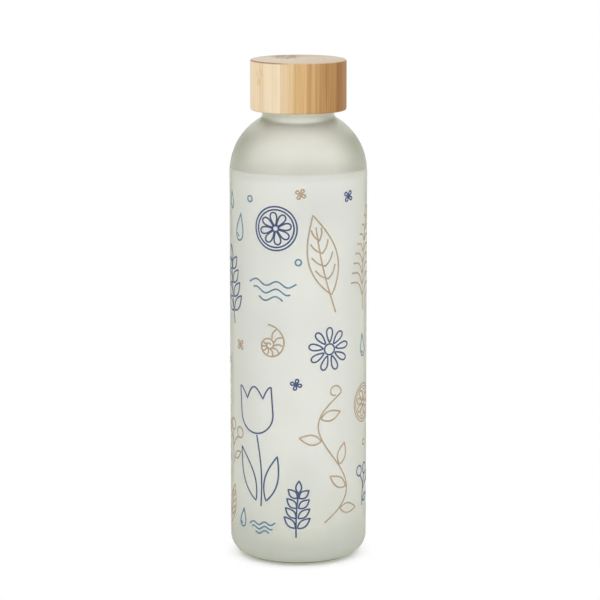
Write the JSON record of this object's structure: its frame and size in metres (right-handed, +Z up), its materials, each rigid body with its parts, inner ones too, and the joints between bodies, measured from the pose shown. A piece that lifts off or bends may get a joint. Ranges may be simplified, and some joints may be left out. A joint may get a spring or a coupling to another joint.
{
  "type": "glass water bottle",
  "caption": "Slim frosted glass water bottle with a round shoulder, a pale printed coat and a cylindrical bamboo screw lid that seals the mouth.",
  "frame": {"origin": "centre of the ring that the bottle stands on, on the table plane", "axes": "+Z up along the axis of the bottle, -Y towards the viewer of the picture, +X to that viewer's right"},
  "size_m": [0.0602, 0.0602, 0.2201],
  "materials": {
    "frosted_glass": "frosted, faintly green",
    "print_coat": "milky matte lacquer",
    "bamboo": "turned and sanded laminated bamboo",
    "polypropylene": "moulded, satin",
    "silicone": "translucent white, matte"
  },
  "bodies": {
    "bottle": {"glass_bottle": "frosted_glass", "printed_coat": "print_coat"},
    "seal": {"seal_ring": "silicone"},
    "lid": {"bamboo_cap": "bamboo", "lid_liner": "polypropylene"}
  },
  "joints": [
    {"name": "lid_lift", "type": "slide", "parent": "bottle", "child": "seal", "axis": [0, 0, 1], "range_m": [0, 0.021]},
    {"name": "lid_turn", "type": "hinge", "parent": "seal", "child": "lid", "pos_m": [0, 0, 0.21], "axis": [0, 0, 1], "range_deg": [0, 1800]}
  ],
  "couplings": [
    {"joint": "lid_lift", "follows": "lid_turn", "m_per_rad": 0.00066845}
  ]
}
